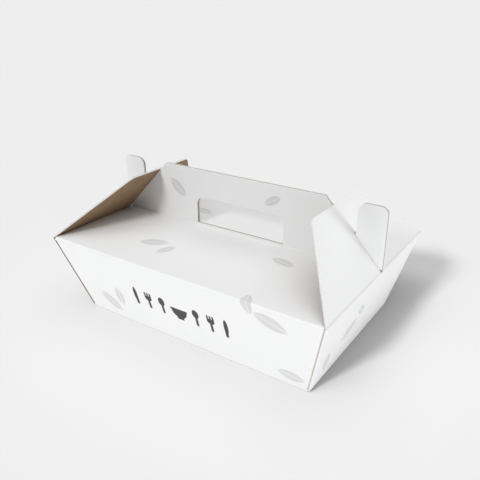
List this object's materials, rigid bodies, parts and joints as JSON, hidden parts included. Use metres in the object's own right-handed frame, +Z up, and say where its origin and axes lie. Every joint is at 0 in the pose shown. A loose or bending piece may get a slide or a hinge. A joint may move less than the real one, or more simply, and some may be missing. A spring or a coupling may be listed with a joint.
{
  "type": "takeaway box",
  "caption": "Closed takeaway box folded from card, with a standing carry handle, a hand hole, and end flaps slotted over the ears of the handle.",
  "frame": {"origin": "middle of the base, on the surface that the box stands on", "axes": "+X along the handle to the right-hand end, -Y to the front, +Z up"},
  "size_m": [0.27, 0.1978, 0.128],
  "materials": {
    "white_top_card": "fine corrugated card with a smooth matt white outer face, a brown kraft inner face and brown cut edges"
  },
  "bodies": {
    "box": {"box_blank": "white_top_card", "handle_ears_left": "white_top_card", "handle_ears_right": "white_top_card"},
    "left_flap": {"end_flap_left": "white_top_card"},
    "right_flap": {"end_flap_right": "white_top_card"}
  },
  "joints": [
    {"name": "left_flap_fold", "type": "hinge", "parent": "box", "child": "left_flap", "pos_m": [-0.135, 0, 0.0745], "axis": [0, -1, 0], "range_deg": [0, 120], "deforming": ["handle_ears_left"]},
    {"name": "right_flap_fold", "type": "hinge", "parent": "box", "child": "right_flap", "pos_m": [0.135, 0, 0.0745], "axis": [0, 1, 0], "range_deg": [0, 120], "deforming": ["handle_ears_right"]}
  ]
}
